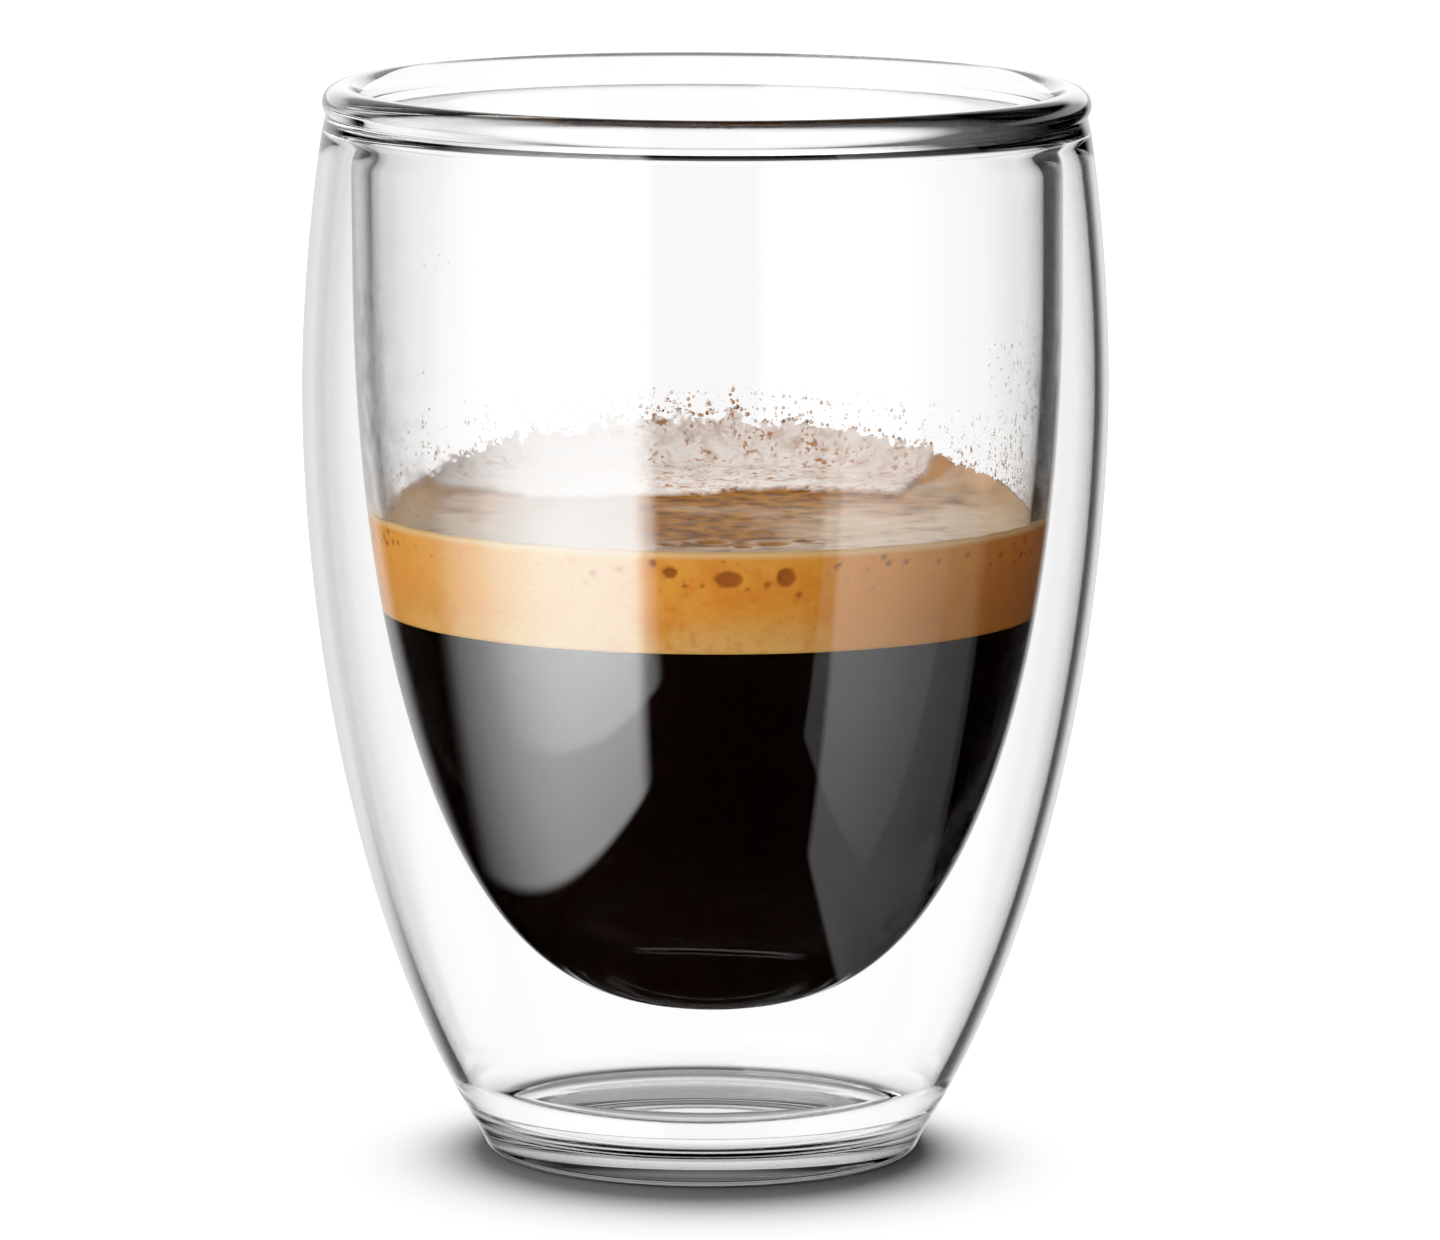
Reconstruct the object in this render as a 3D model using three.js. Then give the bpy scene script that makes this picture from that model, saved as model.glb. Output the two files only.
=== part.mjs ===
// A double espresso in its double-wall glass: black coffee under a deep crema, in a rounded inner
// bowl that hangs inside a tulip-shaped outer shell. Millimetres, +Z up, origin on the table under
// the middle of the glass.
import * as THREE from "three";

// The outer shell, blown to a tulip that is widest above its middle
const BODY_RADIUS = 32.0;
const BODY_WIDEST_Z = 60.9;
const BODY_REACH = 71.4;
const BODY_POWER_UP = 1.85;
const BODY_POWER_OUT = 2.1;
const SHELL_WALL = 1.1;

// The base: a flat foot ring, a shallow dome inside it and a vent in the middle
const FOOT_CORNER = 1.2;
const FOOT_RING_WIDTH = 2.0;
const DOME_RISE = 0.9;
const FLOOR_THICKNESS = 1.8;
const FLOOR_FILLET = 3.0;
const VENT_RADIUS = 1.3;

// The inner bowl, half a long egg under a straight collar
const BOWL_RADIUS = 28.1;
const BOWL_COLLAR_Z = 70.3;
const BOWL_DEPTH = 58.4;
const BOWL_POWER_UP = 2.1;
const BOWL_POWER_OUT = 2.78;
const BOWL_WALL = 1.5;
const BOWL_LEAN = 0.0099; // sideways run of the hand-blown bowl for each millimetre under the rim

// The rim, where the two walls are fused into one round lip
const RIM_Z = 83.9;
const RIM_MID_RADIUS = 28.8;
const RIM_HALF_WIDTH = 1.6;
const RIM_HALF_HEIGHT = 1.4;
const HOLLOW_TOP_Z = 80.9; // where the round top of the space between the walls starts

// The drink
const FIT_GAP = 0.3; // between the drink and the glass, and between coffee and crema
const COFFEE_LEVEL = 43.8;
const CREMA_LEVEL = 51.6;
const MENISCUS_RISE = 0.35; // the crema creeps this far up the glass
const MENISCUS_WIDTH = 1.6;
const FROTH_RISE = 3.4; // dried froth up the far side of the bowl
const FROTH_HALF_ANGLE = 1.25; // radians to each side of the far side
const FROTH_THICKNESS = 0.9;
const LUMP_HEIGHT = 0.12; // low lumps of froth on the surface

const SEGMENTS = 48;

const GLASS_FINISH = { color: 0xe6edf0, roughness: 0.04, metalness: 0 };
const COFFEE_FINISH = { color: 0x120604, roughness: 0.12, metalness: 0 };
const CREMA_FINISH = { color: 0xc98b48, roughness: 0.55, metalness: 0 };

// Radius of the outer shell's face at a height: a superellipse about the widest level.
function bodyRadius(z) {
  const up = Math.abs(z - BODY_WIDEST_Z) / BODY_REACH;
  return BODY_RADIUS * (1 - up ** BODY_POWER_UP) ** (1 / BODY_POWER_OUT);
}

// Outward direction of the outer shell's face at a height, in the plane of the profile.
function bodyNormal(z) {
  const step = 0.01;
  const slope = (bodyRadius(z + step) - bodyRadius(z - step)) / (2 * step);
  return new THREE.Vector2(1, -slope).normalize();
}

// A point of the inner bowl's face, set in by a distance. turn runs from 0 at the bottom, on the
// axis, to 1 where the collar starts, as the angle of a superellipse.
function bowlPoint(turn, inset) {
  const at = (t) => {
    const angle = (t * Math.PI) / 2;
    const reach = Math.max(Math.cos(angle), 0) ** (2 / BOWL_POWER_UP);
    return new THREE.Vector2(
      BOWL_RADIUS * Math.sin(angle) ** (2 / BOWL_POWER_OUT),
      BOWL_COLLAR_Z - BOWL_DEPTH * reach,
    );
  };
  if (turn <= 0) return new THREE.Vector2(0, at(0).y + inset);
  const step = 1e-3;
  const along = at(Math.min(turn + step, 1)).sub(at(turn - step)).normalize();
  const inward = new THREE.Vector2(-along.y, along.x);
  const point = at(turn).addScaledVector(inward, inset);
  return new THREE.Vector2(Math.max(point.x, 0), point.y);
}

// The bowl's face from the bottom up to a height, as points with even turns. It ends exactly at that
// height, on the curve or on the straight collar.
function bowlFace(inset, topZ, count) {
  const points = [];
  for (let i = 0; i <= count; i++) {
    const point = bowlPoint((i / count) ** 1.25, inset);
    if (point.y >= topZ - 0.2) break;
    points.push(point);
  }
  points.push(new THREE.Vector2(bowlRadius(topZ, inset), topZ));
  return points;
}

// Radius of the bowl's face, set in by a distance, at a height: found by halving the turn.
function bowlRadius(z, inset) {
  let low = 0;
  let high = 1;
  if (z >= BOWL_COLLAR_Z) return BOWL_RADIUS - inset;
  for (let i = 0; i < 40; i++) {
    const middle = (low + high) / 2;
    if (bowlPoint(middle, inset).y < z) low = middle;
    else high = middle;
  }
  return bowlPoint(low, inset).x;
}

// Points of an arc of an ellipse, both ends included.
function arc(x, y, halfWidth, halfHeight, from, to, count) {
  return Array.from({ length: count + 1 }, (_, i) => {
    const angle = from + ((to - from) * i) / count;
    return new THREE.Vector2(x + halfWidth * Math.cos(angle), y + halfHeight * Math.sin(angle));
  });
}

// How far the bowl and what is in it have moved sideways at a height.
function leanAt(z) {
  return BOWL_LEAN * Math.max(RIM_Z - z, 0);
}

// Turns a profile about the Z axis. leaning says which of its points belong to the bowl.
function revolve(profile, leaning) {
  const geometry = new THREE.LatheGeometry(profile, SEGMENTS);
  geometry.rotateX(Math.PI / 2);
  const position = geometry.getAttribute("position");
  for (let i = 0; i < position.count; i++)
    if (leaning(i % profile.length)) position.setX(i, position.getX(i) + leanAt(position.getZ(i)));
  geometry.deleteAttribute("normal");
  geometry.deleteAttribute("uv");
  return geometry;
}

function namedMesh(name, geometry, finish) {
  const mesh = new THREE.Mesh(geometry, new THREE.MeshStandardMaterial(finish));
  mesh.name = name;
  return mesh;
}

// The double-wall glass in one profile: up the bowl's outer face, over the top of the hollow, down
// inside the shell, over the floor, through the vent, along the base, up the shell, over the rim and
// down inside the bowl.
function makeGlass() {
  const hollowWidth = bodyRadius(HOLLOW_TOP_Z) - SHELL_WALL - BOWL_RADIUS;
  const hollowMid = BOWL_RADIUS + hollowWidth / 2;
  const floorZ = DOME_RISE + FLOOR_THICKNESS;
  const filletZ = floorZ + FLOOR_FILLET;
  const filletRadius = bodyRadius(filletZ) - SHELL_WALL;
  const footRadius = bodyRadius(FOOT_CORNER) - FOOT_CORNER;
  const rimFoot = RIM_Z - RIM_HALF_HEIGHT;

  const bowlOutside = bowlFace(0, HOLLOW_TOP_Z, 15);
  const hollowTop = arc(hollowMid, HOLLOW_TOP_Z, hollowWidth / 2, hollowWidth / 2, Math.PI, 0, 4);
  const shellInside = [];
  const shellSteps = 11;
  for (let i = 1; i <= shellSteps; i++) {
    const z = HOLLOW_TOP_Z + ((filletZ - HOLLOW_TOP_Z) * i) / shellSteps;
    const normal = bodyNormal(z);
    shellInside.push(new THREE.Vector2(bodyRadius(z) - SHELL_WALL / normal.x, z));
  }
  const fillet = arc(
    filletRadius - FLOOR_FILLET - 0.6,
    filletZ,
    FLOOR_FILLET,
    FLOOR_FILLET,
    -Math.PI / 8,
    -Math.PI / 2,
    3,
  );
  const underside = [
    new THREE.Vector2(VENT_RADIUS, floorZ),
    new THREE.Vector2(VENT_RADIUS, DOME_RISE),
    new THREE.Vector2(footRadius * 0.5, DOME_RISE * 0.75),
    new THREE.Vector2(footRadius - FOOT_RING_WIDTH, 0),
  ];
  const foot = arc(
    footRadius,
    FOOT_CORNER,
    FOOT_CORNER,
    FOOT_CORNER,
    -Math.PI / 2,
    -Math.PI / 12,
    3,
  );
  const shellOutside = [];
  const bodySteps = 14;
  for (let i = 1; i < bodySteps; i++) {
    const z = FOOT_CORNER + ((rimFoot - FOOT_CORNER) * i) / bodySteps;
    shellOutside.push(new THREE.Vector2(bodyRadius(z), z));
  }
  const rim = arc(
    RIM_MID_RADIUS,
    RIM_Z,
    RIM_HALF_WIDTH,
    RIM_HALF_HEIGHT,
    -Math.PI / 5,
    Math.PI * 1.06,
    9,
  );
  const bowlInside = bowlFace(BOWL_WALL, rimFoot - 2.4, 15).reverse();

  const beforeShell = bowlOutside.length;
  const profile = [
    ...bowlOutside,
    ...hollowTop.slice(1, -1),
    ...shellInside,
    ...fillet,
    ...underside,
    ...foot,
    ...shellOutside,
    ...rim,
    ...bowlInside,
  ];
  const afterShell = profile.length - bowlInside.length;
  return revolve(profile, (i) => i < beforeShell || i >= afterShell);
}

// The coffee: the bowl's inner form up to the level where the crema starts.
function makeCoffee() {
  const side = bowlFace(BOWL_WALL + FIT_GAP, COFFEE_LEVEL, 14);
  return revolve([...side, new THREE.Vector2(0, COFFEE_LEVEL)], () => true);
}

// Height that the crema's top adds to its level. out runs from 0 on the axis to 1 at the glass, and
// angle is measured from the right-hand side towards the far side.
function cremaRise(out, angle, radius) {
  const inFromGlass = (1 - out) * radius;
  const meniscus = MENISCUS_RISE * Math.max(1 - inFromGlass / MENISCUS_WIDTH, 0) ** 2;
  const offBack = Math.min(Math.abs(angle - Math.PI / 2) / FROTH_HALF_ANGLE, 1);
  const bank = FROTH_RISE * Math.cos((offBack * Math.PI) / 2) ** 2;
  const froth = bank * Math.max(1 - inFromGlass / FROTH_THICKNESS, 0);
  const lumps = LUMP_HEIGHT * Math.sin(5 * angle + 9 * out) * Math.sin(Math.PI * out);
  return meniscus + froth + lumps;
}

// The crema: a disc on the coffee, with its top raised against the glass and banked up behind.
function makeCrema() {
  const inset = BOWL_WALL + FIT_GAP;
  const bottom = COFFEE_LEVEL + FIT_GAP;
  const bottomRadius = bowlRadius(bottom, inset);
  const middle = (bottom + CREMA_LEVEL) / 2;
  const top = bowlRadius(CREMA_LEVEL, inset);
  const rings = [1, 1 - FROTH_THICKNESS / top, 1 - MENISCUS_WIDTH / top, 0.8, 0.6, 0.4, 0.2, 0];
  const profile = [
    new THREE.Vector2(0, bottom),
    new THREE.Vector2(bottomRadius, bottom),
    new THREE.Vector2(bowlRadius(middle, inset), middle),
    ...rings.map((out) => new THREE.Vector2(top * out, CREMA_LEVEL)),
  ];
  const firstTop = profile.length - rings.length;
  const geometry = revolve(profile, () => false);
  const position = geometry.getAttribute("position");
  for (let i = 0; i < position.count; i++) {
    const ring = (i % profile.length) - firstTop;
    if (ring >= 0) {
      const out = rings[ring];
      const angle = Math.atan2(position.getY(i), position.getX(i));
      const z = CREMA_LEVEL + cremaRise(out, angle, top);
      const radius = out * bowlRadius(z, inset);
      position.setXYZ(i, radius * Math.cos(angle), radius * Math.sin(angle), z);
    }
    position.setX(i, position.getX(i) + leanAt(position.getZ(i)));
  }
  return geometry;
}

const espresso = new THREE.Group();
espresso.add(
  namedMesh("glass", makeGlass(), GLASS_FINISH),
  namedMesh("coffee", makeCoffee(), COFFEE_FINISH),
  namedMesh("crema", makeCrema(), CREMA_FINISH),
);

export default espresso;
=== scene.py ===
import bpy
import numpy as np
from mathutils import Matrix


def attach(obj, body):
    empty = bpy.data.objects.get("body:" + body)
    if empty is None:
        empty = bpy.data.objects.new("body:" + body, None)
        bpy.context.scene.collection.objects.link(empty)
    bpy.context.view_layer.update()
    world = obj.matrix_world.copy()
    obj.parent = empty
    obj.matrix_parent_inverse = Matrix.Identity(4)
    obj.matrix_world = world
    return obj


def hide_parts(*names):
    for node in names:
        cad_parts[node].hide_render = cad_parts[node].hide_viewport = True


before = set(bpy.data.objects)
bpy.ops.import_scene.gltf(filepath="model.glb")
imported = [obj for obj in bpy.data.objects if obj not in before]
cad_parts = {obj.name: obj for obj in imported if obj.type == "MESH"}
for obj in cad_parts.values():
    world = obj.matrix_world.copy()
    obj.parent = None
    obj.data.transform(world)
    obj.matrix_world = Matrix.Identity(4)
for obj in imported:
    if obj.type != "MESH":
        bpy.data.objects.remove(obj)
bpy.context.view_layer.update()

# The glass. One piece of borosilicate glass, blown as a tulip-shaped shell and a rounded bowl that
# are fused into a round lip at the rim. The bowl hangs in the shell without touching it, a little
# out of true as hand-blown ones do, and the floor has a foot ring with a shallow dome inside it.
BODY_RADIUS = 0.0320
BODY_WIDEST_Z = 0.0609
BODY_REACH = 0.0714  # from the widest level to where the shell's curve would close
BODY_POWER_UP = 1.85
BODY_POWER_OUT = 2.1
SHELL_WALL = 0.0011
FOOT_CORNER = 0.0012
FOOT_RING_WIDTH = 0.0020
DOME_RISE = 0.0009
FLOOR_THICKNESS = 0.0018
FLOOR_FILLET = 0.0030
BOWL_RADIUS = 0.0281
BOWL_COLLAR_Z = 0.0703
BOWL_DEPTH = 0.0584
BOWL_POWER_UP = 2.1
BOWL_POWER_OUT = 2.78
BOWL_WALL = 0.0015
BOWL_LEAN = 0.0099  # sideways run for each unit under the rim
RIM_Z = 0.0839
RIM_MID_RADIUS = 0.0288
RIM_HALF_WIDTH = 0.0016
RIM_HALF_HEIGHT = 0.0014
RIM_OVERLAP = 0.0024  # how far under the rim the bowl's inner face ends
HOLLOW_TOP_Z = 0.0809
HOLLOW_ROUND_TOP = 0.0018  # half height of the hollow's round top
GLASS_SIDES = 192
BOWL_ROWS = 90
WALL_ROWS = 60
FILLET_ROWS = 24
FLOOR_ROWS = 30


def body_radius(z):
    """Radius of the shell's outer face: a superellipse about the widest level."""
    up = np.abs(z - BODY_WIDEST_Z) / BODY_REACH
    return BODY_RADIUS * (1 - up**BODY_POWER_UP) ** (1 / BODY_POWER_OUT)


def bowl_face(inset, top_z, count):
    """The bowl's face from its bottom on the axis up to a height, as rows of radius and height.

    It is a superellipse in its angle, moved inwards along its own normal by the inset, and straight
    above the height where the collar starts."""
    angle = np.linspace(0, 1, 4000) ** 1.25 * np.pi / 2
    radius = BOWL_RADIUS * np.sin(angle) ** (2 / BOWL_POWER_OUT)
    z = BOWL_COLLAR_Z - BOWL_DEPTH * np.cos(angle).clip(0) ** (2 / BOWL_POWER_UP)
    slope_r, slope_z = np.gradient(radius), np.gradient(z)
    length = np.hypot(slope_r, slope_z)
    radius = radius - inset * slope_z / length
    z = z + inset * slope_r / length
    radius[0] = 0
    curve = np.c_[radius, z]
    if top_z > z[-1]:
        curve = np.r_[curve, [[curve[-1, 0], top_z]]]
    else:
        curve = curve[z <= top_z]
    run = np.r_[0, np.cumsum(np.hypot(*np.diff(curve, axis=0).T))]
    at = np.linspace(0, run[-1], count)
    face = np.c_[np.interp(at, run, curve[:, 0]), np.interp(at, run, curve[:, 1])]
    face[0, 0] = 0
    return face


def bowl_radius(z, inset):
    """Radius of the bowl's face, moved inwards by the inset, at one height or many."""
    face = bowl_face(inset, HOLLOW_TOP_Z, 1500)
    return np.interp(z, face[:, 1], face[:, 0])


def arc(x, z, half_width, half_height, start, end, count):
    """Points on an ellipse about (x, z), from one angle to another."""
    angle = np.linspace(start, end, count)
    return np.c_[x + half_width * np.cos(angle), z + half_height * np.sin(angle)]


def lean_at(z):
    """How far the bowl and what is in it have moved sideways at a height."""
    return BOWL_LEAN * np.clip(RIM_Z - z, 0, None)


def smooth_step(value, start, end):
    """0 before the start, 1 after the end, and 3t^2 - 2t^3 between them."""
    along = np.clip((value - start) / (end - start), 0, 1)
    return along * along * (3 - 2 * along)


def turned(profile, sides):
    """A profile of (radius, height) rows turned about Z: each row becomes a ring of points
    (radius cos a, radius sin a, height). Rows on the axis, at either end, become one point."""
    angle = np.linspace(0, 2 * np.pi, sides, endpoint=False)
    ring = profile[1:-1]
    points = np.stack(
        [
            ring[:, :1] * np.cos(angle),
            ring[:, :1] * np.sin(angle),
            np.broadcast_to(ring[:, 1:], (len(ring), sides)),
        ],
        axis=-1,
    ).reshape(-1, 3)
    points = np.r_[points, [[0, 0, profile[0, 1]], [0, 0, profile[-1, 1]]]]
    here = np.arange(sides)
    there = (here + 1) % sides
    row = np.arange(len(ring) - 1)[:, None] * sides
    quads = np.stack([row + here, row + there, row + sides + there, row + sides + here], axis=-1)
    last = (len(ring) - 1) * sides
    first_pole, last_pole = len(points) - 2, len(points) - 1
    bottom = np.stack([np.full(sides, first_pole), there, here], axis=-1)
    top = np.stack([last + here, last + there, np.full(sides, last_pole)], axis=-1)
    return points, [*quads.reshape(-1, 4).tolist(), *bottom.tolist(), *top.tolist()]


def glass_outside():
    """The outside as a profile from the middle of the base over the dome, the foot ring and its
    corner, up the shell, over the round rim and down inside the bowl to its bottom."""
    rim_foot = RIM_Z - RIM_HALF_HEIGHT
    foot_radius = body_radius(FOOT_CORNER) - FOOT_CORNER
    dome_r = np.linspace(0, foot_radius - FOOT_RING_WIDTH, 60)
    dome_z = DOME_RISE * np.cos(dome_r / dome_r[-1] * np.pi / 2).clip(0) ** 0.8
    z = np.linspace(FOOT_CORNER, rim_foot, 92)[1:-1]
    return np.r_[
        np.c_[dome_r, dome_z],
        arc(foot_radius, FOOT_CORNER, FOOT_CORNER, FOOT_CORNER, -np.pi / 2, -np.pi / 12, 10),
        np.c_[body_radius(z), z],
        arc(RIM_MID_RADIUS, RIM_Z, RIM_HALF_WIDTH, RIM_HALF_HEIGHT, -np.pi / 5, np.pi * 1.06, 32),
        bowl_face(BOWL_WALL, rim_foot - RIM_OVERLAP, BOWL_ROWS)[::-1],
    ]


def glass_hollow():
    """The sealed hollow as a profile from the bowl's bottom up its outer face, over a round top and
    down inside the shell, one wall in from it along its normal, to the middle of the floor."""
    top_half = (body_radius(HOLLOW_TOP_Z) - SHELL_WALL - BOWL_RADIUS) / 2
    top_mid = BOWL_RADIUS + top_half
    floor_z = DOME_RISE + FLOOR_THICKNESS
    fillet_z = floor_z + FLOOR_FILLET
    z = np.linspace(HOLLOW_TOP_Z, fillet_z, WALL_ROWS)
    slope = np.gradient(body_radius(z), z)
    inside_shell = np.c_[body_radius(z) - SHELL_WALL * np.hypot(1, slope), z]
    fillet_mid = inside_shell[-1, 0] - FLOOR_FILLET * np.cos(np.pi / 8)
    flat = np.linspace(fillet_mid, 0, FLOOR_ROWS)[1:]
    return np.r_[
        bowl_face(0, HOLLOW_TOP_Z, BOWL_ROWS),
        arc(top_mid, HOLLOW_TOP_Z, top_half, HOLLOW_ROUND_TOP, np.pi, 0, 20)[1:-1],
        inside_shell,
        arc(fillet_mid, fillet_z, FLOOR_FILLET, FLOOR_FILLET, -np.pi / 8, -np.pi / 2, FILLET_ROWS),
        np.c_[flat, np.full(len(flat), floor_z)],
    ]


def add_piece(name, points, faces, material, slot, *nodes):
    """A smooth-shaded mesh that rides on the root body and stands for the named solids."""
    mesh = bpy.data.meshes.new(name)
    mesh.from_pydata(points.tolist(), [], faces)
    mesh.polygons.foreach_set("use_smooth", np.ones(len(mesh.polygons), bool))
    mesh.materials.append(material)
    piece = bpy.data.objects.new(name, mesh)
    bpy.context.scene.collection.objects.link(piece)
    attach(piece, "root")
    if nodes:
        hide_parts(*nodes)
    return piece


def add_shares(piece, shares):
    """Stores one number for each point of a piece, under the names that its material reads."""
    for name, values in shares.items():
        stored = piece.data.attributes.new(name, "FLOAT", "POINT").data
        stored.foreach_set("value", np.asarray(values, np.float32))


def new_material(name):
    """An empty material, with its node tree and the one Principled shader in it."""
    material = bpy.data.materials.new(name)
    material.use_nodes = True
    return material, material.node_tree, material.node_tree.nodes["Principled BSDF"]


def set_inputs(tree, node, inputs):
    """Sets a node's inputs, given by name or number, to values, or links them to sockets."""
    for name, value in inputs.items():
        if isinstance(value, bpy.types.NodeSocket):
            tree.links.new(value, node.inputs[name])
        else:
            node.inputs[name].default_value = value


def add_node(tree, kind, inputs=(), output=0, **settings):
    """Adds a shader node with its settings, fills its inputs, given in their order or by name or
    number, and returns one of its outputs."""
    made = tree.nodes.new("ShaderNode" + kind)
    for name, value in settings.items():
        setattr(made, name, value)
    set_inputs(tree, made, inputs if isinstance(inputs, dict) else dict(enumerate(inputs)))
    return made.outputs[output]


def fade(tree, *steps):
    """The product of several factors. Each is a socket, or a smooth step from 0 to 1, or from its
    own low to its own high, as its value goes from a start to an end."""
    product = None
    for step in steps:
        if isinstance(step, tuple):
            limits = (0.0, 1.0) if len(step) == 3 else ()
            step = add_node(tree, "MapRange", (*step, *limits), interpolation_type="SMOOTHSTEP")
        if product is not None:
            step = add_node(tree, "Math", (product, step), operation="MULTIPLY")
        product = step
    return product


def linear(hex_colour):
    """An sRGB hex colour as linear red, green and blue with full alpha."""
    value = np.array([int(hex_colour[i : i + 2], 16) for i in (1, 3, 5)]) / 255
    value = np.where(value <= 0.04045, value / 12.92, ((value + 0.055) / 1.055) ** 2.4)
    return (*value.tolist(), 1.0)


def layer(tree, below, above, *steps):
    """Lays a colour or a socket over what is below it, by the product of smooth steps."""
    above = linear(above) if isinstance(above, str) else above
    return add_node(tree, "Mix", {0: fade(tree, *steps), 6: below, 7: above}, 2, data_type="RGBA")


outside, hollow = glass_outside(), glass_hollow()
outside_points, outside_faces = turned(outside, GLASS_SIDES)
hollow_points, hollow_faces = turned(hollow, GLASS_SIDES)
# the rings that belong to the bowl, last on the outside and first on the hollow, lean with it
outside_ring = np.arange(len(outside) - 2)
inside_bowl = np.repeat(outside_ring >= len(outside) - 1 - BOWL_ROWS, GLASS_SIDES)
inside_bowl = np.r_[inside_bowl, False, True]
outside_points[:, 0] += inside_bowl * lean_at(outside_points[:, 2])
hollow_ring = np.arange(len(hollow) - 2)
around_bowl = np.r_[np.repeat(hollow_ring < BOWL_ROWS - 1, GLASS_SIDES), True, False]
hollow_points[:, 0] += around_bowl * lean_at(hollow_points[:, 2])

# where the inner wall is misty: at its left, and lower down and less widely at its right
outside_x, outside_y, outside_z = outside_points.T
outside_angle = np.arctan2(outside_y, outside_x)
misty_left = smooth_step(np.abs(np.abs(outside_angle) - np.pi), 1.05, 0.35)
misty_left *= smooth_step(outside_z, 0.079, 0.066)
misty_right = smooth_step(np.abs(outside_angle), 0.45, 0.15)
misty_right *= smooth_step(outside_z, 0.071, 0.058)
mist = inside_bowl * np.maximum(0.7 * misty_left, misty_right)

# where painted shade darkens the foot, and where part of the light passes unbent
outside_radius = np.hypot(outside_x, outside_y)
painted_foot_shade = smooth_step(outside_z, 0.0040, 0.0012) * smooth_step(outside_radius, 0.0142, 0.0150)
on_dome = smooth_step(outside_radius, 0.0146, 0.0138) * (outside_z < 0.001)
hollow_x, hollow_y, hollow_z = hollow_points.T
hollow_radius = np.hypot(hollow_x, hollow_y)
on_floor = smooth_step(hollow_radius, 0.0128, 0.0112) * (hollow_z < 0.0028)
on_far_top = smooth_step(hollow_z, 0.0795, 0.0808) * smooth_step(hollow_y, 0, 0.012)

# Borosilicate glass, fire-polished: nearly colourless and quite smooth, so it shows itself only by
# its bright reflections and by the dark lines where it bends the light at its edges. The glass is
# thick at the lip and the foot, and both carry painted shade, a grey tint for those dark lines: the
# foot all round, and the lip on its near half, darkest where it turns away from view.
GLASS_IOR = 1.473
LIP_NEAR_SIDE = (0.5, -0.87, 0.0)
LOW_DOWN = 0.006
TRAPPED_AFTER = 2.5  # mirrorings

clear_glass, glass_tree, glass_shader = new_material("borosilicate_glass")
spot = add_node(glass_tree, "TexCoord", output="Object")
height = add_node(glass_tree, "SeparateXYZ", [spot], "Z")
facing = add_node(glass_tree, "LayerWeight", {"Blend": 0.5}, "Facing")
nearness = add_node(
    glass_tree, "VectorMath", {0: spot, 1: LIP_NEAR_SIDE}, "Value", operation="DOT_PRODUCT"
)
share_of = {
    name: add_node(glass_tree, "Attribute", output="Fac", attribute_name=name)
    for name in ("mist", "foot", "unbent")
}
# painted shade: the lip's near half darkens to nearly black where it turns away from view, for the
# dark lines that bright light behind glass draws at its edges
painted_glass_shade = layer(
    glass_tree,
    linear("#ffffff"),
    "#1c1c1d",
    (height, 0.0818, 0.0828),
    (facing, 0.05, 0.26),
    (nearness, 0.003, 0.020, 0.06, 1.0),
)
# painted shade: a grey tint over the foot all round, for the dark lines where its thick corner
# bends the light
painted_glass_shade = layer(glass_tree, painted_glass_shade, "#4c4a4b", share_of["foot"])
patchy = add_node(
    glass_tree, "TexNoise", {"Vector": spot, "Scale": 1 / 0.0016, "Detail": 4.0}, "Fac"
)
blur = add_node(glass_tree, "MapRange", (patchy, 0.35, 0.7, 0.04, 0.34))
blur = add_node(glass_tree, "Math", (blur, share_of["mist"]), operation="MULTIPLY")
set_inputs(glass_tree, glass_shader, {
    "Base Color": painted_glass_shade,
    "Roughness": blur,
    "IOR": GLASS_IOR,
    "Transmission Weight": 1.0,
})
# light that the floor has mirrored within itself three times is let out, as it would be sooner or
# later, and the floor and the far top of the hollow let part of the light pass unbent
mirrorings = add_node(glass_tree, "LightPath", output="Glossy Depth")
trapped = add_node(glass_tree, "Math", (mirrorings, TRAPPED_AFTER), operation="GREATER_THAN")
low_down = add_node(glass_tree, "Math", (height, LOW_DOWN), operation="LESS_THAN")
trapped = add_node(glass_tree, "Math", (trapped, low_down), operation="MULTIPLY")
unbent = add_node(glass_tree, "Math", (trapped, share_of["unbent"]), operation="MAXIMUM")
straight_through = add_node(glass_tree, "BsdfTransparent")
glass_surface = add_node(
    glass_tree, "MixShader", (unbent, glass_shader.outputs[0], straight_through)
)
set_inputs(glass_tree, glass_tree.nodes["Material Output"], {"Surface": glass_surface})

glass = add_piece(
    "double_wall_glass",
    np.r_[outside_points, hollow_points],
    outside_faces + [[i + len(outside_points) for i in face] for face in hollow_faces],
    clear_glass,
    "clear_glass",
    "glass",
)
add_shares(glass, {
    "mist": np.r_[mist, 0 * hollow_z],
    "foot": np.r_[painted_foot_shade, 0 * hollow_z],
    "unbent": np.r_[0.7 * on_dome, np.maximum(0.7 * on_floor, 0.6 * on_far_top)],
})

# The coffee. A black drink that fills the bowl up to the crema, so dark that no light comes back
# from inside it. Liquid wets the glass, so its face reaches just into the wall and no film of air
# shows between them, and the glass in front of it gives nearly all of its gloss.
INTO_WALL = 0.00015
COFFEE_TOP = 0.0439
COFFEE_SIDES = 160
LIQUID_IOR = 1.33
WET_WALL = BOWL_WALL - INTO_WALL

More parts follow.
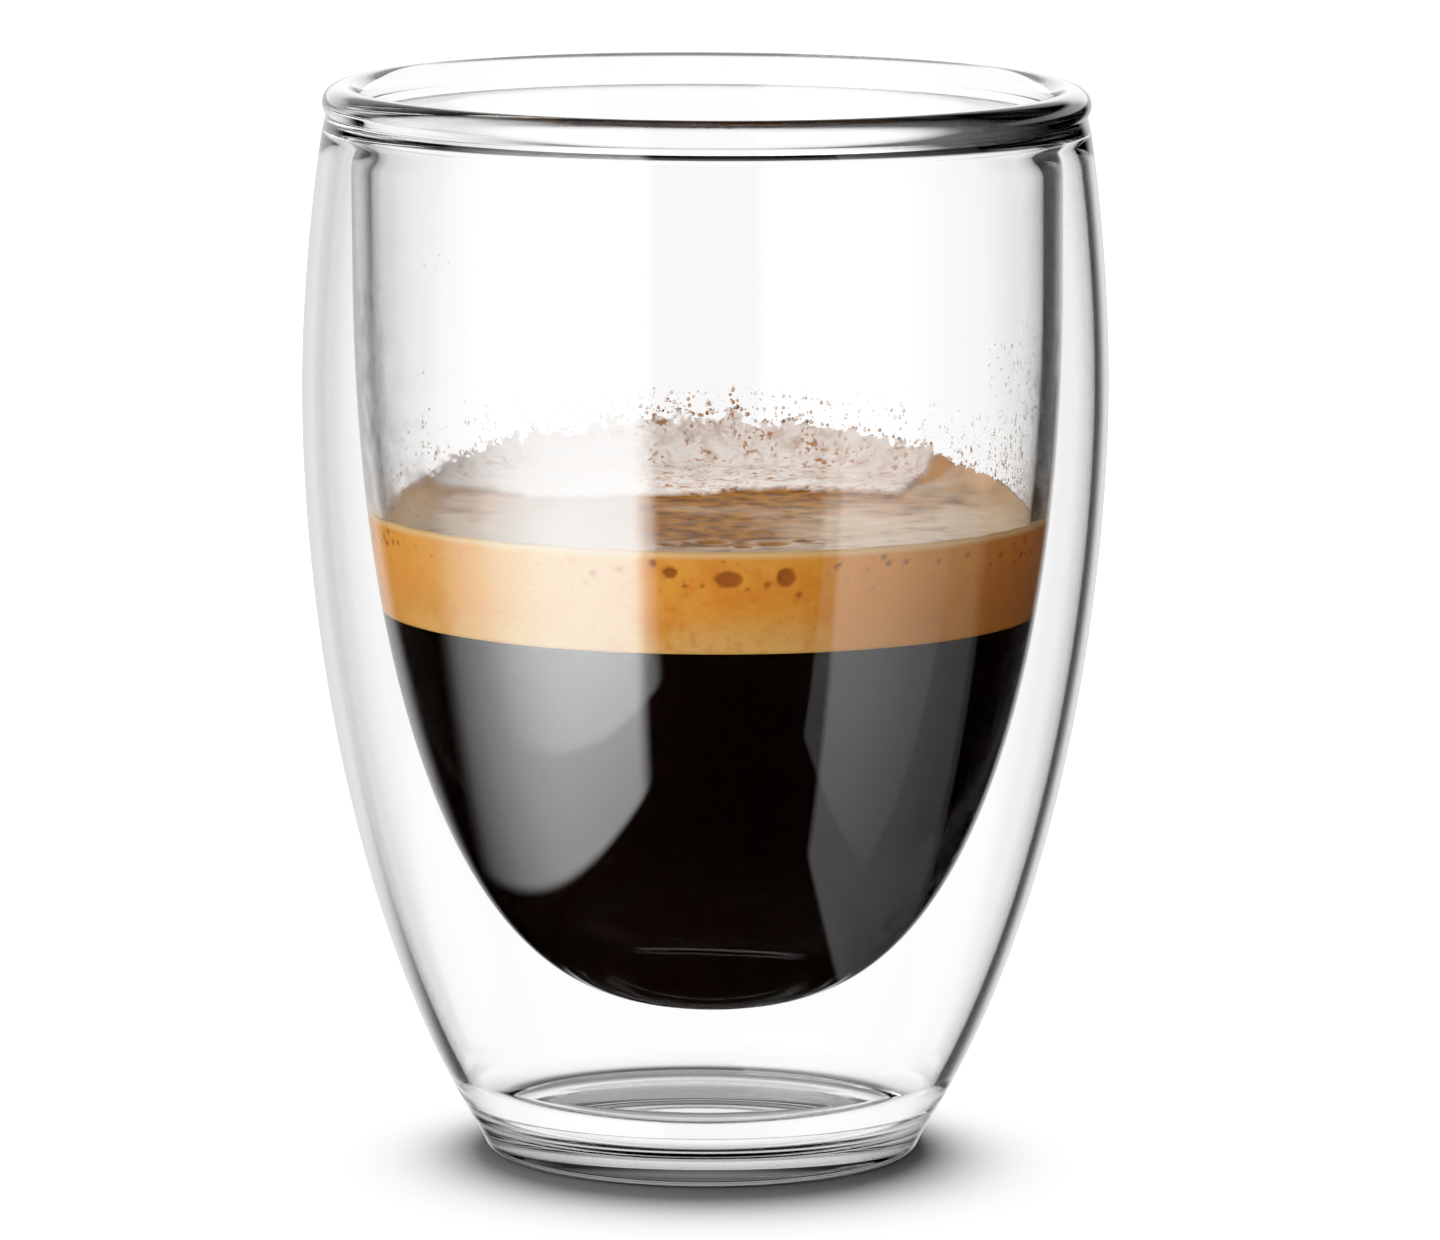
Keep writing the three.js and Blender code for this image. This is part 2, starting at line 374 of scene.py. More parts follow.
black_coffee, coffee_tree, coffee_shader = new_material("black_coffee")
set_inputs(coffee_tree, coffee_shader, {
    "Base Color": linear("#120603"),
    "Roughness": 0.08,
    "IOR": LIQUID_IOR,
    "Specular IOR Level": 0.05,
})
coffee_side = bowl_face(WET_WALL, COFFEE_TOP, 80)
across = np.linspace(coffee_side[-1, 0], 0, 12)[1:]
coffee_top = np.c_[across, np.full(len(across), COFFEE_TOP)]
points, faces = turned(np.r_[coffee_side, coffee_top], COFFEE_SIDES)
points[:, 0] += lean_at(points[:, 2])
add_piece("coffee_body", points, faces, black_coffee, "black_coffee", "coffee")

# The crema. A deep golden foam on the coffee, finest near the bottom, with larger bubbles caught
# against the glass under its top edge. Its top is brown with a pale film, and on the far side lies
# a bank of whiter froth that climbs the glass to a ragged edge.
CREMA_TOP = 0.0516
CREMA_SIDES = 800
SIDE_ROWS = 34
MENISCUS_RISE = 0.00035
MENISCUS_REACH = 0.0005
FROTH_RISE = 0.0037
FROTH_REACH = 0.0011  # how far from the glass the bank has fallen to a third
FROTH_HALF_ANGLE = 1.5
FROTH_DEPTH = 0.0004
FROTH_FADE = 0.0007
# where the froth starts on the crema, from left to right
FROTH_EDGE_X = np.array([-24.4, -18.0, -14.0, -5.6, 0.0, 3.0, 6.3, 10.3, 15.6, 17.2, 24.4]) / 1000
FROTH_EDGE_Y = np.array([9.4, 9.0, 5.0, 5.8, 7.5, 10.3, 11.0, 9.0, 7.8, 16.5, 18.0]) / 1000
# bubbles against the glass: sideways, below the crema's top, half width and half height
GLASS_BUBBLES = np.array([
    (-2.9, 1.3, 0.60, 0.50),
    (-1.8, 2.3, 0.30, 0.27),
    (-0.5, 2.3, 0.27, 0.25),
    (1.5, 1.8, 1.15, 0.75),
    (4.4, 2.2, 0.30, 0.30),
    (5.8, 1.7, 0.78, 0.85),
    (2.9, 2.6, 0.25, 0.22),
    (-5.9, 2.2, 0.25, 0.22),
    (-6.7, 1.2, 0.38, 0.32),
    (-8.7, 1.6, 0.42, 0.38),
    (-9.3, 2.5, 0.28, 0.26),
    (13.4, 1.0, 0.35, 0.30),
    (14.7, 1.0, 0.30, 0.26),
]) / 1000
# bubbles in the pale film on top: sideways, towards the back, radius
TOP_BUBBLES = np.array([
    (0.2, -17.8, 1.3),
    (4.9, -18.4, 1.5),
    (7.2, -17.0, 1.0),
    (-3.2, -19.0, 0.9),
    (2.6, -20.5, 0.8),
]) / 1000
TOP_BUBBLE_DEPTH = 0.00025
SMALL_BUBBLES = 150  # all round, against the glass
DEEP_BUBBLE = 0.0004
SHALLOW_BUBBLE = 0.0001
INSIDE_RADIUS = 0.0244  # of the bowl at the crema's top, to turn angles into lengths
FINE_BAND = 0.0016  # how far in from the glass the top's rows are close together
WALL_BAND = 0.004  # how far in from the glass the top follows the slope of the wall


def layered_noise(points, cell, seed, layers=3):
    """Noise between about -1 and 1 at 3-D points. Random values on a lattice with the given cell
    are blended between its corners with a smooth step. Each further layer has half the cell and
    half the strength."""
    lattice = np.random.default_rng(seed).uniform(-1, 1, (32, 32, 32))
    total = np.zeros(points.shape[:-1])
    for layer_number in range(layers):
        at = points / cell * 2**layer_number + 7.3 * layer_number
        corner = np.floor(at).astype(int)
        part = at - corner
        part = part * part * (3 - 2 * part)
        for step in np.ndindex(2, 2, 2):
            weight = np.prod(np.where(step, part, 1 - part), axis=-1)
            i, j, k = np.moveaxis((corner + step) % 32, -1, 0)
            total += weight * lattice[i, j, k] / 2**layer_number
    return total


def film_and_sheen_share(x, y, radius, rough, broad, froth_side, ring):
    """How much pale film lies on the brown crema, partly real film and partly a painted sheen of
    the
    bright room on its wet top: patches that fade in sideways and towards the back, less of it in
    the middle, less in a strip just in front of the froth, which is painted shadow under the
    froth's edge, broken up by noise, and more around the bubbles."""
    film = 0.42 * smooth_step(x, 0.004, 0.012) * smooth_step(y, 0.006, 0.0)
    film += 0.75 * smooth_step(x, -0.006, -0.012) * smooth_step(y, 0.012, 0.004)
    film += 0.70 * smooth_step(radius, 0.0196, 0.0212) * smooth_step(y, 0.0, -0.008)
    film += 0.25 * smooth_step(x, 0.014, 0.018) * smooth_step(y, 0.002, 0.006)
    film += 0.40 * smooth_step(x, 0.016, 0.020) * smooth_step(y, 0.005, 0.0)
    film += 0.20 * smooth_step(x, 0.0165, 0.019) + 0.20 * smooth_step(x, -0.0185, -0.0205)
    middle = smooth_step(x, -0.006, -0.003) * smooth_step(x, 0.010, 0.006)
    film -= 0.45 * middle * smooth_step(y, 0.0, 0.004)
    # painted shadow: the film thins in a strip just in front of the froth's edge, so the brown
    # there darkens as if shaded by the froth
    film -= 0.70 * smooth_step(froth_side + 0.0006 * rough, -0.0026, -0.0008)
    return np.clip(film + 0.4 * broad + 0.2 * rough + 0.6 * ring, 0, 1)


def crema_height(angle, inwards):
    """Height of the crema's top at an angle and a distance in from the glass, with masks of what
    shows there. A rise at the glass and the bank behind fall off with the distance. The froth lies
    on top with its own thickness, behind an edge that noise frays, lumps stand out of it, and
    bubbles sink in."""
    radius = bowl_radius(CREMA_TOP, WET_WALL) - inwards
    x, y = radius * np.cos(angle), radius * np.sin(angle)
    flat = np.stack([x, y, np.zeros_like(x)], axis=-1)
    rough = layered_noise(flat, 0.0022, 11)
    lumps = layered_noise(flat, 0.0016, 23)
    broad = layered_noise(flat, 0.0075, 41, 4)
    froth_side = y - np.interp(x, FROTH_EDGE_X, FROTH_EDGE_Y)
    froth = smooth_step(froth_side + 0.0016 * rough, 0, FROTH_FADE)
    off_back = np.abs(np.angle(np.exp(1j * (angle - np.pi / 2))))
    bank = np.cos(np.clip(off_back / FROTH_HALF_ANGLE, 0, 1) * np.pi / 2) ** 1.3
    along_wall = np.stack([angle * INSIDE_RADIUS, np.zeros_like(x), np.zeros_like(x)], axis=-1)
    ragged = 1 + 0.16 * layered_noise(along_wall, 0.0026, 5)
    rise = MENISCUS_RISE * np.exp(-((inwards / MENISCUS_REACH) ** 2))
    rise += FROTH_RISE * bank * ragged * np.exp(-((inwards / FROTH_REACH) ** 1.3))
    rise += froth * (FROTH_DEPTH + 0.00012 * lumps) + 0.00006 * rough
    ring = np.zeros_like(x)
    hole = np.zeros_like(x)
    for centre_x, centre_y, size in TOP_BUBBLES:
        away = np.hypot(x - centre_x, y - centre_y) / size
        hole = np.maximum(hole, smooth_step(away, 1.0, 0.75))
        ring = np.maximum(ring, smooth_step(away, 1.7, 1.1))
    rise -= TOP_BUBBLE_DEPTH * hole
    film = film_and_sheen_share(x, y, radius, rough, broad, froth_side, ring) * (1 - hole)
    return CREMA_TOP + rise, froth, film, hole


angle = np.linspace(0, 2 * np.pi, CREMA_SIDES, endpoint=False)
near_glass = np.geomspace(0.00003, FINE_BAND, 18)
to_middle = np.linspace(FINE_BAND, bowl_radius(CREMA_TOP, WET_WALL), 72)[1:-1]
top_angle, top_inwards = np.meshgrid(angle, np.r_[near_glass, to_middle])
top_z, froth, film, top_hole = crema_height(top_angle, top_inwards)
# near the glass the top follows the wall's own slope, and further in it stands on a level circle
top_radius = np.where(
    top_inwards < WALL_BAND, bowl_radius(top_z, WET_WALL), bowl_radius(CREMA_TOP, WET_WALL)
) - top_inwards
contact_z, contact_froth, _, _ = crema_height(angle, np.zeros_like(angle))
up = np.linspace(0, 1, SIDE_ROWS)[:, None]
side_z = COFFEE_TOP + up * (contact_z - COFFEE_TOP)

# bubbles against the glass: those in front, and small ones spread all round below the top edge
draw = np.random.default_rng(8)
spread = draw.uniform((-np.pi, 0.0005, 0.15), (np.pi, 0.0034, 1.0), (SMALL_BUBBLES, 3))
spread[:, 1] *= draw.uniform(0.4, 1.3, SMALL_BUBBLES)
small = 0.00016 + 0.00022 * spread[:, 2] ** 3
front_x = GLASS_BUBBLES[:, 0] / bowl_radius(CREMA_TOP - 0.002, WET_WALL)
bubble_angle = np.r_[np.arcsin(front_x) - np.pi / 2, spread[:, 0]]
bubble_z = CREMA_TOP - np.r_[GLASS_BUBBLES[:, 1], spread[:, 1]]
bubble_wide = np.r_[GLASS_BUBBLES[:, 2], small]
bubble_high = np.r_[GLASS_BUBBLES[:, 3], small]
side_angle = np.broadcast_to(angle, side_z.shape)
# how much painted shade darkens each bubble's hollow, and how deep the bubble sinks into the foam
painted_bubble_shade = np.zeros_like(side_z)
depth = np.zeros_like(side_z)
for bubble, z, wide, high in zip(bubble_angle, bubble_z, bubble_wide, bubble_high):
    off = np.angle(np.exp(1j * (side_angle - bubble))) * INSIDE_RADIUS
    dent = np.sqrt(np.clip(1 - np.hypot(off / wide, (side_z - z) / high) ** 2, 0, 1))
    painted_bubble_shade = np.maximum(painted_bubble_shade, dent * min(1, 0.35 + wide / 0.0008))
    depth = np.maximum(depth, dent * (DEEP_BUBBLE if wide > 0.0005 else SHALLOW_BUBBLE))

# the rows from the bottom's middle out to the glass, up the side and in over the top
side_radius = bowl_radius(side_z, WET_WALL) - depth
radius = np.r_[side_radius[:1] * 0.5, side_radius, top_radius]
z = np.r_[np.full((1, CREMA_SIDES), COFFEE_TOP), side_z, top_z]
rows = np.stack([radius * np.cos(angle), radius * np.sin(angle), z], axis=-1)
_, faces = turned(np.zeros((len(radius) + 2, 2)), CREMA_SIDES)
points = np.r_[rows.reshape(-1, 3), [[0, 0, COFFEE_TOP], [0, 0, top_z[-1].mean()]]]
points[:, 0] += lean_at(points[:, 2])


def all_rows(on_side, on_top, middle):
    """One value for each point of the crema: none on the bottom, then the side, the top and the
    middle of the top."""
    bottom = np.zeros(CREMA_SIDES)
    return np.r_[bottom, np.ravel(on_side), np.ravel(on_top), 0, middle]


above_line = smooth_step(side_z, CREMA_TOP + 0.0002, CREMA_TOP + 0.0007)
climb = contact_z - CREMA_TOP
side_thinning = 1.8 * smooth_step(side_z - CREMA_TOP, 0.2 * climb, 0.6 * climb)
top_thinning = 1.1 * smooth_step(top_z - CREMA_TOP, 0.55 * climb, 1.05 * climb)
thinning = np.r_[side_thinning, top_thinning] * smooth_step(climb, 0.0007, 0.0014)
crema_shares = {
    "thinning": all_rows(thinning[:SIDE_ROWS], thinning[SIDE_ROWS:], 0),
    "froth": all_rows(above_line * contact_froth, froth, 0),
    "film": all_rows(0 * side_z, film, film[-1].mean()),
    "painted_bubble_shade": all_rows(painted_bubble_shade, top_hole, 0),
    "on_top": all_rows(above_line, np.ones_like(top_z), 1),
}

# Espresso foam: a matt scatter of tiny bubbles, golden where it is packed against the glass, brown
# with a pale film on top, and nearly white where the froth is dry. Its colours are not flat: they
# are mottled at the size of its bubbles, a third to one millimetre.
GRAINS = {  # patch size in metres, detail, and a shift that keeps one apart from the next
    "cloudy": (0.0030, 3.0, 0.1),
    "mottled": (0.0007, 2.0, 0.2),
    "streaky": (0.0019, 4.0, 0.3),
    "lacy": (0.0009, 3.0, 0.35),
    "specked": (0.00045, 2.0, 0.45),
    "chosen": (0.0024, 2.0, 0.5),
    "dry": (0.0012, 3.0, 0.7),
    "fine": (0.0004, 2.0, 0.9),
}
CELL = 0.0010

crema_foam, crema_tree, crema_shader = new_material("crema_foam")
place = add_node(crema_tree, "TexCoord", output="Object")
to_right = add_node(crema_tree, "SeparateXYZ", [place], "X")
level = add_node(crema_tree, "SeparateXYZ", [place], "Z")
grain = {}
for name, (size, detail, shift) in GRAINS.items():
    moved = add_node(crema_tree, "VectorMath", {0: place, 1: (shift,) * 3}, operation="ADD")
    inputs = {"Vector": moved, "Scale": 1 / size, "Detail": detail}
    grain[name] = add_node(crema_tree, "TexNoise", inputs, "Fac")
share_of = {
    name: add_node(crema_tree, "Attribute", output="Fac", attribute_name=name)
    for name in crema_shares
}

# the band against the glass: paler foam below, darker clouds and spots in it, painted light that
# makes it lighter to the left and painted shade that makes it browner to the right, a thin pale
# line along its top edge, and brown bubbles, darkened further as painted shade in their hollows
packed = layer(crema_tree, linear("#ffcb78"), "#fdb24c", (level, 0.0440, 0.0475))
for colour, *step in (
    ("#f08c26", grain["cloudy"], 0.42, 0.66, 0.0, 0.45),
    ("#e07818", grain["mottled"], 0.50, 0.74, 0.0, 0.3),
    # painted light and shade: lighter towards the left and browner towards the right, as the light
    # falls
    ("#f2c480", to_right, -0.003, -0.007, 0.0, 0.45),
    ("#fcae48", to_right, -0.019, -0.0245, 0.0, 0.75),
    ("#ec9f2c", to_right, 0.0065, 0.012, 0.0, 0.85),
    ("#c87828", to_right, 0.013, 0.018, 0.0, 0.3),
    ("#dc8c4a", to_right, 0.0200, 0.0212, 0.0, 0.9),
    ("#ffe4ae", level, CREMA_TOP - 0.0004, CREMA_TOP + 0.0001, 0.0, 0.6),
    # painted shade in the bubbles' hollows
    ("#b56a2a", share_of["painted_bubble_shade"], 0.05, 0.8),
):
    packed = layer(crema_tree, packed, colour, tuple(step))

# the top: brown with darker streaks, the pale film over it, which is partly a painted sheen, pale
# at both sides, and greyer on the left, a painted reflection of a softbox that lies over it there
surface = layer(crema_tree, linear("#5e3911"), "#92601f", (grain["streaky"], 0.33, 0.67))
for colour, *steps in (
    # the pale film, partly a painted sheen of the bright room on the wet top
    ("#a8957f", share_of["film"], (grain["streaky"], 0.25, 0.5, 0.45, 1.0)),
    ("#c6a988", (to_right, -0.0205, -0.0235, 0.0, 0.85)),
    ("#c6a988", (to_right, 0.0202, 0.0235, 0.0, 0.5)),
    # painted reflection: a softbox's grey reflection over the left part of the top
    ("#6b5a4a", (to_right, -0.0175, -0.0145), (to_right, -0.005, -0.0065, 0.0, 0.6)),
):
    surface = layer(crema_tree, surface, colour, *steps)

# the froth: dry and pale with brown specks in some of its patches, darker to either side
dry = linear("#d0c6bf")
for colour, *steps in (
    ("#aa9584", (grain["dry"], 0.42, 0.68, 0.0, 0.6)),
    ("#925a24", (grain["specked"], 0.53, 0.62, 0.0, 0.85), (grain["chosen"], 0.40, 0.58)),
    ("#8f7663", (to_right, 0.007, 0.014, 0.0, 0.4)),
    ("#8f857d", (to_right, -0.004, -0.007, 0.0, 0.5)),
):
    dry = layer(crema_tree, dry, colour, *steps)

# froth over the top, the top over the band, holes where the froth thins out up the glass, and a
# relief of fine bubbles that is strongest in the froth
surface = layer(crema_tree, surface, dry, share_of["froth"])
colour = layer(crema_tree, packed, surface, share_of["on_top"])
lace = add_node(
    crema_tree, "Math", (share_of["thinning"], -0.42, grain["lacy"]), operation="MULTIPLY_ADD"
)
cells = add_node(
    crema_tree, "TexVoronoi", {"Vector": place, "Scale": 1 / CELL, "Randomness": 1.0}, "Distance"
)
bubbly = add_node(crema_tree, "Math", (cells, 1.2, grain["fine"]), operation="MULTIPLY_ADD")
relief = add_node(crema_tree, "Math", (share_of["froth"], 0.15), operation="MAXIMUM")
relief = add_node(crema_tree, "Math", (bubbly, relief), operation="MULTIPLY")
set_inputs(crema_tree, crema_shader, {
    "Base Color": colour,
    "Roughness": 0.42,
    "IOR": LIQUID_IOR,
    "Specular IOR Level": 0.04,
    "Alpha": fade(crema_tree, (lace, 0.16, 0.26)),
    "Normal": add_node(
        crema_tree, "Bump", {"Strength": 0.5, "Distance": 0.0003, "Height": relief}
    ),
})
crema = add_piece("crema_layer", points, faces, crema_foam, "crema_foam", "crema")
add_shares(crema, crema_shares)

# The drops. Steam from the shot has settled on the inner wall above the froth and at the sides as
# small lens-shaped drops of water, which crowd together just above the froth.
DROP_RINGS = np.array([(0.0, 0.0), (1.0, 0.0), (0.93, 0.2), (0.6, 0.42), (0.0, 0.55)])
DROP_SIDES = 8
DROP_GAP = 0.000005  # between a drop and the glass, so that their faces don't coincide
DROPS_BEHIND_FROTH = 0.0004
# count, seed, middle angle, half spread, base (None for the froth's edge), top, smallest, largest
DROP_GROUPS = (
    (1500, 31, np.pi / 2, 1.45, None, 0.0580, 0.00005, 0.00020),
    (800, 32, 0.06, 0.42, 0.0520, 0.0660, 0.00005, 0.00017),
    (400, 33, np.pi, 0.75, 0.0530, 0.0740, 0.00004, 0.00011),
)


def froth_line(turn):
    """The height of the froth's upper edge at an angle."""
    return np.interp(turn % (2 * np.pi), angle, contact_z)


def drop_places(count, seed, middle, spread, base, top, small, large):
    """Places for drops: angles about a middle, heights crowded towards the base, and radii most of
    which are small."""
    draw = np.random.default_rng(seed)
    turn = middle + spread * draw.uniform(-1, 1, count)
    base = froth_line(turn) - DROPS_BEHIND_FROTH if base is None else base
    z = base + (top - base) * draw.uniform(0, 1, count) ** 2.4
    size = small + (large - small) * draw.uniform(0, 1, count) ** 3
    return turn, z, size


# each drop is a few rings of (radius, height) turned about its own axis, which points inwards from
# the wall, and is drawn out a little upwards
turn, z, size = np.concatenate([drop_places(*group) for group in DROP_GROUPS], axis=1)
inward = np.stack([-np.cos(turn), -np.sin(turn), 0 * turn], axis=-1)
sideways = np.stack([-np.sin(turn), np.cos(turn), 0 * turn], axis=-1)
upward = -np.cross(inward, sideways)
wall_radius = bowl_radius(z, BOWL_WALL) - DROP_GAP
centre = -inward * wall_radius[:, None] + np.stack([lean_at(z), 0 * z, z], axis=-1)
drop_points, drop_faces = turned(DROP_RINGS, DROP_SIDES)
uneven = np.random.default_rng(34).uniform(0.85, 1.25, (len(turn), 1, 1))
points = centre[:, None] + size[:, None, None] * (
    drop_points[:, 0][:, None] * sideways[:, None]
    + drop_points[:, 1][:, None] * upward[:, None] * uneven
    + drop_points[:, 2][:, None] * inward[:, None]
)
first = np.arange(len(turn)) * len(drop_points)
faces = [[i + start for i in face] for start in first.tolist() for face in drop_faces]
stained = smooth_step(z - froth_line(turn), 0.0030, 0.0006) * (np.abs(turn - np.pi / 2) < 1.45)
stained *= np.random.default_rng(35).uniform(0.2, 1.0, len(turn))

# Clean water on glass: quite smooth and clear, seen only by how it bends what is behind it. The
# drops near the froth carry a little coffee, which browns them.
water, water_tree, water_shader = new_material("condensed_water")
coffee_share = add_node(water_tree, "Attribute", output="Fac", attribute_name="stained")
set_inputs(water_tree, water_shader, {
    "Base Color": layer(water_tree, linear("#f6efe9"), "#a8703c", coffee_share),
    "Roughness": 0.0,
    "IOR": LIQUID_IOR,
    "Transmission Weight": 1.0,
})
drops = add_piece("condensation_drops", points.reshape(-1, 3), faces, water, "clear_glass")
add_shares(drops, {"stained": np.repeat(stained, len(drop_points))})

# The floor. A plain matt sheet under and behind the glass. It is mid grey, and a lamp of its own
# lights it until it reads as white, so that of the glass's shadow only the dark heart is seen.
# Light in the glass sees the room and not the sheet.
FLOOR_HALF = 3.0

paper, paper_tree, paper_shader = new_material("matt_paper")
set_inputs(paper_tree, paper_shader, {
    "Base Color": linear("#5a5a5a"),
    "Roughness": 0.9,
    "Specular IOR Level": 0.0,
})
corners = [(-1, -1, 0), (1, -1, 0), (1, 1, 0), (-1, 1, 0)]
floor_mesh = bpy.data.meshes.new("floor")
floor_mesh.from_pydata((np.array(corners) * FLOOR_HALF).tolist(), [], [(0, 1, 2, 3)])
floor_mesh.materials.append(paper)
floor = bpy.data.objects.new("floor", floor_mesh)
bpy.context.scene.collection.objects.link(floor)
floor.visible_glossy = floor.visible_transmission = False

# The floor's lamp. A broad soft lamp above and a little behind, which lights only the sheet.
FLOOR_LAMP_STRENGTH = 75.0
FLOOR_LAMP_WIDTH = np.radians(50)
FLOOR_LAMP_TILT = np.radians(-9)

lamp_data = bpy.data.lights.new("overhead", "SUN")
lamp_data.angle = FLOOR_LAMP_WIDTH
lamp_data.energy = FLOOR_LAMP_STRENGTH
lamp = bpy.data.objects.new("overhead", lamp_data)
lamp.matrix_world = Matrix.Rotation(FLOOR_LAMP_TILT, 4, "X")
lamp.visible_camera = lamp.visible_glossy = lamp.visible_transmission = False
lit_floor = bpy.data.collections.new("lit_floor")
lit_floor.objects.link(floor)
lamp.light_linking.receiver_collection = lit_floor
bpy.context.scene.collection.objects.link(lamp)

# The camera. A long lens looks slightly down on the glass from in front of it. Its distance, height
# and lens are worked out from how the ellipses of the rim, the crema and the foot open up towards
# the table in the photograph.
CAMERA_DISTANCE = 0.7234
CAMERA_HEIGHT = 0.1537
CAMERA_PITCH = np.radians(8.735)  # down
CAMERA_YAW = np.radians(-0.099)
CAMERA_ROLL = np.radians(0.3)
LENS_MM = 229.8

camera = bpy.data.objects.new("camera", bpy.data.cameras.new("camera"))
camera.data.lens = LENS_MM
camera.data.sensor_width = 36.0
camera.data.clip_start = 0.01
camera.data.clip_end = 20.0
camera.matrix_world = (
    Matrix.Translation((0, -CAMERA_DISTANCE, CAMERA_HEIGHT))
    @ Matrix.Rotation(CAMERA_YAW, 4, "Z")
    @ Matrix.Rotation(np.pi / 2 - CAMERA_PITCH, 4, "X")
    @ Matrix.Rotation(CAMERA_ROLL, 4, "Z")
)
bpy.context.scene.collection.objects.link(camera)
bpy.context.scene.camera = camera

# The room's light. It is white behind the glass and dark in front of it, as bright-field light for
# glass is, with two flat softboxes that show only as reflections. What lights the foam comes from
# all round, brightest from straight above and from the left.
BACKGROUND = 1.5
FOAM_LIGHT_LEFT, FOAM_LIGHT_RIGHT = 2.9, 0.3
LET_OUT_LIGHT = 0.6
BOX_EDGE = 0.03  # how softly the softboxes' upper and lower edges fade
SOFTBOXES = (
    {  # on the left, wide, and brightest towards the camera
        "azimuth": -52, "half_width": 0.72, "low": -0.74, "high": 1.0,
        "near": 0.7, "far": 4.7, "far_at": 0.15,
        "near_soft": 0.2, "far_soft": 0.14, "slant": 0.0, "droop": 0.0,
    },
    {  # on the right, narrower and dimmer, with a slanted side and a drooping lower edge
        "azimuth": 65, "half_width": 0.475, "low": -0.98, "high": 1.0,
        "near": 1.15, "far": 0.35, "far_at": 0.45,
        "near_soft": 0.03, "far_soft": 0.04, "slant": 0.06, "droop": 0.35,
    },
)

world = bpy.data.worlds.new("studio")
bpy.context.scene.world = world
world.use_nodes = True
sky = world.node_tree
direction = add_node(sky, "TexCoord", output="Generated")
to_x = add_node(sky, "SeparateXYZ", [direction], "X")
to_y = add_node(sky, "SeparateXYZ", [direction], "Y")
to_z = add_node(sky, "SeparateXYZ", [direction], "Z")
glossy_depth = add_node(sky, "LightPath", output="Glossy Depth")
transmission_depth = add_node(sky, "LightPath", output="Transmission Depth")
diffuse_depth = add_node(sky, "LightPath", output="Diffuse Depth")


def softbox(
    azimuth, half_width, low, high, near, far, far_at, near_soft, far_soft, slant, droop
):
    """The light of a flat upright softbox, faced at an azimuth from the camera's side towards +X.
    A direction meets the softbox's plane at u = side / ahead and v = up / ahead, in distances from
    it, and is lit there between the sides, where u less slant times v counts on the near side, and
    between the low edge, where v plus droop times u counts, and the high edge. The strength goes
    from near to far between the near side and far_at, and grows upwards."""
    turn = np.radians(azimuth)
    ahead_axis, side_axis = (np.sin(turn), -np.cos(turn), 0), (np.cos(turn), np.sin(turn), 0)
    ahead, aside = (
        add_node(sky, "VectorMath", {0: direction, 1: axis}, "Value", operation="DOT_PRODUCT")
        for axis in (ahead_axis, side_axis)
    )
    distance = add_node(sky, "Math", (ahead, 0.001), operation="MAXIMUM")
    u = add_node(sky, "Math", (aside, distance), operation="DIVIDE")
    v = add_node(sky, "Math", (to_z, distance), operation="DIVIDE")
    slanted = add_node(sky, "Math", (v, -slant, u), operation="MULTIPLY_ADD")
    drooping = add_node(sky, "Math", (u, droop, v), operation="MULTIPLY_ADD")
    return fade(
        sky,
        (slanted, -half_width, near_soft - half_width),
        (u, half_width, half_width - far_soft),
        (drooping, low, low + BOX_EDGE),
        (v, -0.8, -0.3, 0.7, 1.2),
        (v, high, high - BOX_EDGE),
        (ahead, 0.0, 0.05),
        (u, -half_width, far_at, near, far),
    )


